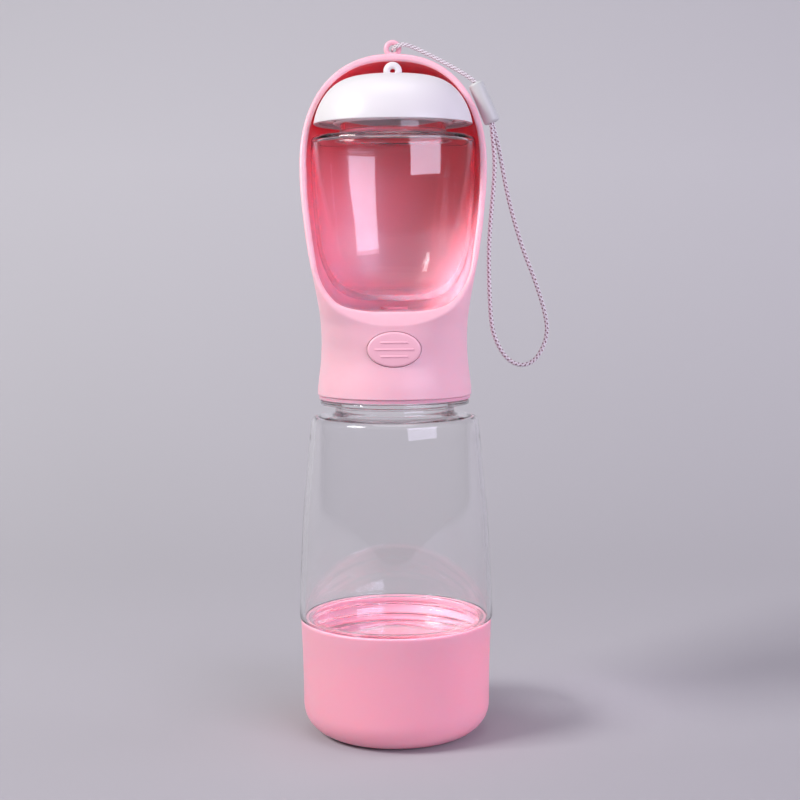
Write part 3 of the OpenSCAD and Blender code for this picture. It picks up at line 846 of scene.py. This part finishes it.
# Hanging ring: a round eye of the head's polypropylene, moulded in one with the head and
# sunk a little into the top of its dome. The strap's tie runs through it.
RING_R = 2.45
RING_BAR_R = 1.0
RING_PLACE = (0, 9.4, 267.6)
ring_section = [(RING_R + RING_BAR_R * math.cos(a), RING_BAR_R * math.sin(a))
                for a in (2 * math.pi * i / 20 for i in range(20))]
solid_plastic = moulded("moulded_polypropylene_solid_pink", "#F9BAC8", "#F9BDCB", **SATIN)
new_object("hanging_ring", lathe(ring_section, 64, (0, 1, 0), RING_PLACE), [solid_plastic],
           "head")

# Button: pressed to open the water valve. It is moulded in the head's pink, its face has
# a rounded edge and three raised bars for grip, and a flange behind keeps it in its hole.
FACE_Y = -29.4
EDGE_Y = FACE_Y + 1.0
EDGE_DEEP = 0.7
EDGE_WIDE = 1.8
FACE_CROWN = 0.12
STEM_W = 7.2
FLANGE_W = 22.4
FLANGE_H = 10.4
BAR_R = 0.42
BARS = ((-2.6, 10.4), (0, 14.7), (2.6, 10.4))
button_rings = [button_oval(*sizes) for sizes in (
    (-15.5, 4, 4), (-15.5, STEM_W, STEM_W), (-21.8, STEM_W, STEM_W),
    (-21.8, FLANGE_W, FLANGE_H), (-23.2, FLANGE_W, FLANGE_H), (-23.2, BUTTON_W, FLANGE_H),
    (-23.6, BUTTON_W, BUTTON_H), (EDGE_Y, BUTTON_W, BUTTON_H))]
for turn in (18, 36, 54, 72, 90):
    b = math.radians(turn)
    shrink = EDGE_WIDE * (1 - math.cos(b))
    button_rings.append(button_oval(EDGE_Y - EDGE_DEEP * math.sin(b), BUTTON_W - shrink,
                                    BUTTON_H - shrink))
for share in (0.85, 0.65, 0.4, 0.15, 0.02):
    button_rings.append(button_oval(
        EDGE_Y - EDGE_DEEP - FACE_CROWN * (1 - share ** 2), (BUTTON_W - EDGE_WIDE) * share,
        (BUTTON_H - EDGE_WIDE) * share))
button_bm = skin(button_rings)
for rise, length in BARS:
    made = bmesh.ops.create_uvsphere(button_bm, u_segments=16, v_segments=10,
                                     radius=BAR_R * MM)["verts"]
    bmesh.ops.rotate(button_bm, verts=made, matrix=Matrix.Rotation(math.pi / 2, 3, "Y"))
    for v in made:
        if abs(v.co.x) > 1e-9:
            v.co.x += math.copysign((length / 2 - BAR_R) * MM, v.co.x)
    bmesh.ops.translate(button_bm, verts=made,
                        vec=Vector((0, FACE_Y + 0.34, BUTTON_Z + rise)) * MM)
new_object("button_moulding", smooth_skin(button_bm), [solid_plastic], "push_button",
           ["button"])


# Food cup: blown in clear copolyester, nearly round, with a soft shoulder and a wide
# neck that the lid is pressed on. It stands in the scoop on its small round bottom.
FOOD_SIDES = [
    # Height, half width, depth in front of the axis and depth behind it.
    (170, 9, 9, 9), (170.5, 14, 13, 13), (172, 18.6, 16.6, 17), (175, 22.8, 20.2, 20.8),
    (180, 26, 23.2, 24), (188, 28.9, 25.6, 26.8), (198, 30.2, 27, 28.2),
    (210, 31.2, 27.6, 28.7), (220, 31.7, 27.8, 28.8), (228.5, 31.8, 27.8, 28.8),
]
FOOD_Z = 170
FOOD_TOP_Z = 233
FOOD_CORNER_R = 2.2
FOOD_WALL = 1.4
FOOD_FLOOR_Z = FOOD_Z + FOOD_WALL * 1.3
FOOD_NECK_Z = 244
FOOD_NECK_R = 20.5
FOOD_MOUTH_R = 18.8
FOOD_HEIGHTS = [
    170, 170.12, 170.3, 170.6, 171, 171.6, 172.3, 173.2, 174.2, 175.4, 176.8, 178.4, 180,
    182.5, 185, 188, 191, 194.5, 198, 202, 206, 210, 215, 220, 224, 228.5,
]


def oval(z, half, front, back, front_power=2.1, back_power=2.2):
    """Level oval about the upright axis, as deep to the front and the back as it says."""
    made = []
    for a in ANGLES:
        s, c = math.sin(a), math.cos(a)
        power, deep = (front_power, front) if c > 0 else (back_power, back)
        made.append(Vector((
            half * math.copysign(abs(s) ** (2 / power), s),
            -math.copysign(deep * abs(c) ** (2 / power), c), z)))
    return made


def food_walls(floor_z, inset):
    """Rings up a wall of the cup, from its floor round the corner to its shoulder."""
    squeeze = (FOOD_TOP_Z - inset - floor_z) / (FOOD_TOP_Z - FOOD_Z)
    rings = []
    for z in FOOD_HEIGHTS:
        sizes = [along(z, [(row[0], row[k]) for row in FOOD_SIDES]) - inset for k in (1, 2, 3)]
        rings.append(oval(floor_z + (z - FOOD_Z) * squeeze, *sizes))
    _, half, front, back = FOOD_SIDES[-1]
    for turn in (15, 30, 45, 60, 75, 90):
        a = math.radians(turn)
        d = FOOD_CORNER_R * (1 - math.cos(a)) + inset
        z = floor_z + (FOOD_TOP_Z + FOOD_CORNER_R * (math.sin(a) - 1) - FOOD_Z) * squeeze
        rings.append(oval(z, half - d, front - d, back - d))
    return rings


food_rings = [oval(FOOD_Z, r, r, r) for r in (0.4, 6)] + food_walls(FOOD_Z, 0)
# The shoulder rises to the neck, and the neck's wall goes up, over the mouth and down.
food_rings += [oval(z, r, r, r, 2, 2) for r, z in (
    (24, 233.5), (22, 233.85), (21.2, 234.1), (20.7, 234.6), (FOOD_NECK_R, 235.3),
    (FOOD_NECK_R, 243.4), (20.38, 243.8), (20.1, FOOD_NECK_Z), (19.2, FOOD_NECK_Z),
    (18.92, 243.8), (FOOD_MOUTH_R, 243.4), (FOOD_MOUTH_R, 233.7), (18.95, 233.1),
    (19.4, 232.6), (20.2, 232.35), (24, 231.9))]
food_rings += food_walls(FOOD_FLOOR_Z, FOOD_WALL)[::-1]
food_rings += [oval(FOOD_FLOOR_Z, r, r, r) for r in (3, 0.4)]
new_object("food_cup_wall", skin(food_rings), [clear_plastic], "food",
           ["food_cup"])

# Lid: a white moulded dome with a rounded lower edge and an eye on top to lift it by.
# Inside it a collar grips the cup's neck and a ledge presses the seal.
LID_Z = 237.6
LID_TOP_Z = LID_Z + 18.6
LID_HALF = 30.6
LID_DEEP = 27.0
LID_SIDE_POWER = 1.4
LID_TOP_POWER = 4.15
LID_WALL = 2.0
LID_FOOT = 1.7
LID_EDGE_R = 0.25
white_plastic = moulded("moulded_abs_white", "#E7E3E4", "#E5E1E2", roughness=0.3,
                        grain_mm=0.5, relief_mm=0.004, depth=(1.2, 0.9, 1.1), scatter=0.12)


def lid_oval(z, inset):
    """Level oval of the lid's plan."""
    return oval(z, LID_HALF - inset, LID_DEEP - inset, LID_DEEP - inset)


def dome_ring(z, inset):
    """Ring of the dome's outside, or of its inside at an inset."""
    rise = min(max(z - LID_Z, 0) / (LID_TOP_Z - inset - LID_Z), 1)
    share = max((1 - rise ** LID_SIDE_POWER) ** (1 / LID_TOP_POWER), 0.01)
    return oval(z, (LID_HALF - inset) * share, (LID_DEEP - inset) * share,
                (LID_DEEP - inset) * share)


def dome_heights(z0, z1, count):
    """Heights that come closer together towards the top of the dome."""
    return [z0 + (z1 - z0) * math.sin(math.pi / 2 * i / count) for i in range(1, count + 1)]


INSIDE_Z = LID_Z + 1.2
OUTSIDE_Z = LID_Z + 0.6
lid_rings = [dome_ring(z, LID_WALL) for z in
             [LID_Z + 0.3, INSIDE_Z] + dome_heights(INSIDE_Z, LID_TOP_Z - LID_WALL, 18)]
lid_rings.reverse()
lid_rings.append(lid_oval(LID_Z, LID_FOOT))
for turn in (0, 30, 60, 90):
    b = math.radians(turn)
    lid_rings.append(lid_oval(LID_Z + LID_EDGE_R * (1 - math.cos(b)),
                              LID_EDGE_R * (1 - math.sin(b))))
lid_rings += [dome_ring(z, 0) for z in [OUTSIDE_Z] + dome_heights(OUTSIDE_Z, LID_TOP_Z, 30)]
new_object("food_cup_lid_dome", skin(lid_rings), [white_plastic], "food",
           ["food_cup_lid"])

# Collar: a white tube inside the dome, which grips the cup's neck. Its ledge presses the
# seal on the neck's lip.
COLLAR_R = 20.9
COLLAR_OUT_R = 22.5
LEDGE_R = 17.5
collar_profile = rounded(
    [(COLLAR_R, 238.2), (COLLAR_OUT_R, 238.2), (COLLAR_OUT_R, 247.2), (COLLAR_R, 249.4),
     (COLLAR_R, 246.9), (LEDGE_R, 246.9), (LEDGE_R, 245.4), (COLLAR_R, 245.4)],
    {0: 0.3, 1: 0.3})
new_object("food_cup_lid_collar", lathe(collar_profile, 96), [white_plastic], "food")

# Lid's underside: a flat ring of the same ABS, polished, which closes the dome from below
# round the collar.
PLATE_LOW, PLATE_HIGH = 238.1, 238.9
PLATE_INSET = 1.9
PLATE_HOLE_R = 22.3
polished_white = moulded("polished_abs_white", "#F0ECEC", "#EEEAEA", roughness=0.05,
                         grain_mm=0.5, relief_mm=0.001)
lid_floor = new_object(
    "food_cup_lid_floor",
    skin([lid_oval(PLATE_LOW, PLATE_INSET), lid_oval(PLATE_HIGH, PLATE_INSET)]),
    [polished_white], "food")
combine(lid_floor, "DIFFERENCE", skin([circle_ring(PLATE_HOLE_R, z) for z in (236, 240)]))

# Eye of the lid: a flat loop with rounded edges, moulded in one with the dome. The lid is
# lifted by it.
EYE_HOLE_R = 1.6
EYE_R = 3.35
EYE_HALF = 1.2
eye_profile = rounded([(EYE_HOLE_R, -EYE_HALF), (EYE_R, -EYE_HALF), (EYE_R, EYE_HALF),
                       (EYE_HOLE_R, EYE_HALF)], {0: 0.35, 1: 0.8, 2: 0.8, 3: 0.35}, 5)
new_object("food_cup_lid_eye", lathe(eye_profile, 56, (0, 1, 0), (0, -2, LID_TOP_Z + 1.3)),
           [white_plastic], "food")


# Seals and valve: soft silicone rings, a white moulded valve body, a grey rod with a
# black ring, and a spring of bright wire that closes the valve.
def silicone_material(name, light, dark):
    """Moulded silicone: milky, soft to the light, with a dull skin."""
    made = new_material(name)
    place = add_node(made, "ShaderNodeTexCoord").outputs["Object"]
    cloud = add_node(made, "ShaderNodeTexNoise", {"Vector": place, "Scale": 1 / (3 * MM)})
    tone = add_node(made, "ShaderNodeMix", {
        "Factor": cloud.outputs["Fac"], 6: linear_colour(light), 7: linear_colour(dark)},
        data_type="RGBA")
    shader = add_node(made, "ShaderNodeBsdfPrincipled", {
        "Base Color": tone.outputs[2], "Roughness": 0.5, "Subsurface Weight": 0.4,
        "Subsurface Radius": (1, 1, 1), "Subsurface Scale": 1.5 * MM})
    return finish_material(made, shader)


silicone = silicone_material("moulded_silicone_milky", "#F0F0F2", "#E2E2E6")
pink_silicone = silicone_material("moulded_silicone_pink", "#EFA0B0", "#E793A6")
rod_plastic = moulded("turned_acetal_grey", "#D5D5D8", "#CFCFD3", roughness=0.45,
                      grain_mm=0.3, relief_mm=0.01)
black_rubber = moulded("moulded_nitrile_black", "#202022", "#1B1B1D", roughness=0.6,
                       grain_mm=0.3, relief_mm=0.01)


def wire_material():
    """Spring wire: drawn steel, bright, with fine lines left by the die."""
    made = new_material("drawn_steel_wire")
    place = add_node(made, "ShaderNodeTexCoord").outputs["Object"]
    lines = add_node(made, "ShaderNodeTexNoise", {"Vector": place, "Scale": 1 / (0.3 * MM)})
    gloss = add_node(made, "ShaderNodeMapRange", {
        "Value": lines.outputs["Fac"], "To Min": 0.2, "To Max": 0.35})
    shader = add_node(made, "ShaderNodeBsdfPrincipled", {
        "Base Color": linear_colour("#C4C4C8"), "Metallic": 1.0,
        "Roughness": gloss.outputs["Result"]})
    return finish_material(made, shader)


def dress(names, material):
    """Gives CAD nodes that stay in view their material."""
    for name in names:
        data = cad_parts[name].data
        data.materials.clear()
        data.materials.append(material)


dress(["neck_seal", "lid_seal", "valve_seal"], silicone)
dress(["base_seal", "outlet_grommet"], pink_silicone)
dress(["valve_housing", "valve_cap"], white_plastic)
dress(["neck_collar"], pink_plastic)
dress(["valve_rod"], rod_plastic)
dress(["rod_oring"], black_rubber)

SPRING_START_Y = 6.2
SPRING_END_Y = 15.0
WIRE_R = 0.3
WIRE_GAP = 0.05
SPRING_R = 3.3
SPRING_TURNS = 5
SPRING_STEPS = SPRING_TURNS * 24
spring_rise = SPRING_END_Y - SPRING_START_Y - 2 * (WIRE_R + WIRE_GAP)
spring_bm = bmesh.new()
bmesh.ops.create_circle(spring_bm, cap_ends=True, radius=WIRE_R * MM, segments=10)
bmesh.ops.translate(
    spring_bm, verts=spring_bm.verts[:],
    vec=Vector((SPRING_R, SPRING_START_Y + WIRE_R + WIRE_GAP, BUTTON_Z)) * MM)
bmesh.ops.spin(spring_bm, geom=spring_bm.faces[:], cent=Vector((0, 0, BUTTON_Z)) * MM,
               axis=(0, 1, 0), dvec=(0, spring_rise * MM / SPRING_STEPS, 0),
               angle=2 * math.pi * SPRING_TURNS, steps=SPRING_STEPS, use_merge=False)
bmesh.ops.remove_doubles(spring_bm, verts=spring_bm.verts[:], dist=1e-8)
spring = new_object("valve_spring_wire", smooth_skin(spring_bm), [wire_material()], "head",
                    ["valve_spring"])
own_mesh(spring)


# Studio: a sweep of pale lilac grey paper, hung behind the bottle and run out under it.
# A white softbox on the left, a lilac one on the right and weaker panels light the bottle.
SWEEP_FRONT = -0.85
SWEEP_FLOOR_END = 0.3
SWEEP_BEND_R = 1.0
SWEEP_TOP = 2.0
SWEEP_HALF = 1.8


def paper_material():
    """Matt paper, painted darker at the front of the floor and lighter up the sweep, as painted
    shade and light.
    """
    made = new_material("matt_paper_lilac_grey")
    place = add_node(made, "ShaderNodeTexCoord").outputs["Object"]
    parts = add_node(made, "ShaderNodeSeparateXYZ", {"Vector": place})
    # Painted shade and light: the colour runs from a darker grey at the floor's front to a
    # lighter one at the top of the sweep.
    depth = add_node(made, "ShaderNodeMath", {0: parts.outputs["Y"], 1: parts.outputs["Z"]},
                     operation="ADD")
    share = add_node(made, "ShaderNodeMapRange", {
        "Value": depth.outputs["Value"], "From Min": -0.1, "From Max": 1.3})
    tone = add_node(made, "ShaderNodeMix", {
        "Factor": share.outputs["Result"], 6: linear_colour("#AEABB0"),
        7: linear_colour("#DCDADD")}, data_type="RGBA")
    shader = add_node(made, "ShaderNodeBsdfPrincipled", {
        "Base Color": tone.outputs[2], "Roughness": 0.95, "Specular IOR Level": 0.1})
    return finish_material(made, shader)


sweep_profile = [(SWEEP_FRONT, 0), (SWEEP_FLOOR_END, 0)]
sweep_profile += arc((SWEEP_FLOOR_END, SWEEP_BEND_R), SWEEP_BEND_R, -87, 0, 29)
sweep_profile += [(SWEEP_FLOOR_END + SWEEP_BEND_R, SWEEP_TOP)]
sweep_bm = bmesh.new()
verts = [sweep_bm.verts.new((-SWEEP_HALF, y, z)) for y, z in sweep_profile]
edges = [sweep_bm.edges.new(p) for p in zip(verts, verts[1:])]
out = bmesh.ops.extrude_edge_only(sweep_bm, edges=edges)["geom"]
bmesh.ops.translate(sweep_bm, verts=[v for v in out if isinstance(v, bmesh.types.BMVert)],
                    vec=(2 * SWEEP_HALF, 0, 0))
sweep_mesh = bpy.data.meshes.new("paper_sweep")
smooth_skin(sweep_bm).to_mesh(sweep_mesh)
sweep_bm.free()
sweep_mesh.materials.append(paper_material())
sweep = bpy.data.objects.new("paper_sweep", sweep_mesh)
bpy.context.scene.collection.objects.link(sweep)


LAMP_DISTANCE = 1.3
AIM = Vector((0, 0, 0.2))


def softbox(name, azimuth, elevation, width, height, radiance, colour,
            distance=LAMP_DISTANCE, mirrored=True):
    """Area light aimed at the bottle, at an azimuth from the camera's side and an elevation.

    A panel that isn't mirrored lights the bottle but shows in none of its reflections.
    """
    data = bpy.data.lights.new(name, "AREA")
    data.shape = "RECTANGLE"
    data.size, data.size_y = width, height
    data.energy = radiance * math.pi * width * height
    data.color = linear_colour(colour)[:3]
    made = bpy.data.objects.new(name, data)
    bpy.context.scene.collection.objects.link(made)
    a, e = math.radians(azimuth), math.radians(elevation)
    way = Vector((math.sin(a) * math.cos(e), -math.cos(a) * math.cos(e), math.sin(e)))
    made.location = AIM + way * distance
    made.rotation_mode = "QUATERNION"
    made.rotation_quaternion = way.to_track_quat("Z", "Y")
    made.visible_glossy = mirrored
    made.visible_transmission = mirrored


softbox("key_left", -64, 35.6, width=0.5, height=0.36, radiance=26.5, colour="#FFFFFF")
softbox("box_right", 39, 14.3, width=0.98, height=0.55, radiance=5.8, colour="#ECE4FF")
softbox("top_light", 0, 78, width=0.8, height=0.5, radiance=2.2, colour="#FFFFFF",
        distance=1.2)
softbox("bounce_left", -100, 15, width=1.0, height=1.0, radiance=0.7, colour="#FFFFFF",
        mirrored=False)
softbox("bounce_right", 95, 15, width=1.0, height=1.0, radiance=1.6, colour="#F0EAFF",
        mirrored=False)

# The room is dim: it fills the shadows, and clear plastic mirrors little of it.
ROOM_COLOUR = linear_colour("#E8E6EE")
ROOM_GLOW = 0.18
ROOM_MIRRORED = 0.16
room = bpy.data.worlds.new("studio_room")
bpy.context.scene.world = room
room.use_nodes = True
room.node_tree.nodes.clear()
ambient = add_node(room, "ShaderNodeBackground",
                   {"Color": ROOM_COLOUR, "Strength": ROOM_GLOW})
mirrored = add_node(room, "ShaderNodeBackground",
                    {"Color": ROOM_COLOUR, "Strength": ROOM_MIRRORED})
rays = add_node(room, "ShaderNodeLightPath")
seen = add_node(room, "ShaderNodeMixShader", {
    "Fac": rays.outputs["Is Glossy Ray"], 1: ambient.outputs["Background"],
    2: mirrored.outputs["Background"]})
add_node(room, "ShaderNodeOutputWorld", {"Surface": seen.outputs["Shader"]})
